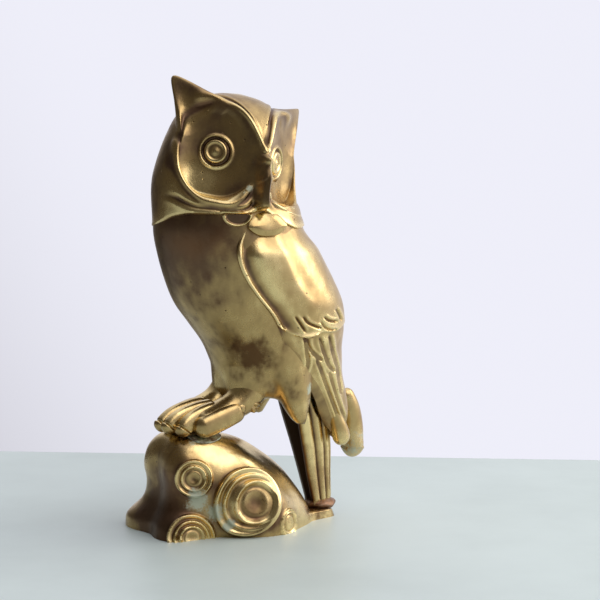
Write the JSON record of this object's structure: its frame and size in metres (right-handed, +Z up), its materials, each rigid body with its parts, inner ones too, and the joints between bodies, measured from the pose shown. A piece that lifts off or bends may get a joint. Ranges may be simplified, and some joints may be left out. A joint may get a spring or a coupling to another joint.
{
  "type": "owl figurine",
  "caption": "Hollow cast owl figurine with a turned head, ear tufts, folded wings and a channelled tail, standing on a rock mound with ring-shaped bosses.",
  "frame": {"origin": "middle of the box round the owl, on the surface it stands on", "axes": "+Z up; the owl's body faces -Y, its left side is +X, and its head is turned to face +X"},
  "size_m": [0.0785, 0.1178, 0.2121],
  "materials": {
    "owl_brass": "polished cast brass, aged, with brown patina in the hollows",
    "mound_brass": "cast brass, darker patina, polished on the ring bosses",
    "tail_brass": "cast brass, polished outside and nearly black inside the channel",
    "inner_brass": "unpolished brass strip",
    "braze_metal": "rough coppery brazing metal with pale green residue"
  },
  "bodies": {
    "root": {"base_mound": "mound_brass", "face_shell": "owl_brass", "crown_shell": "owl_brass", "neck_sleeve": "inner_brass", "breast_shell": "owl_brass", "back_shell": "owl_brass", "left_wing": "owl_brass", "right_wing": "owl_brass", "left_leg": "owl_brass", "right_leg": "owl_brass", "left_foot_braze": "braze_metal", "right_foot_braze": "braze_metal", "tail_fan": "tail_brass", "tail_braze": "braze_metal"}
  },
  "joints": []
}
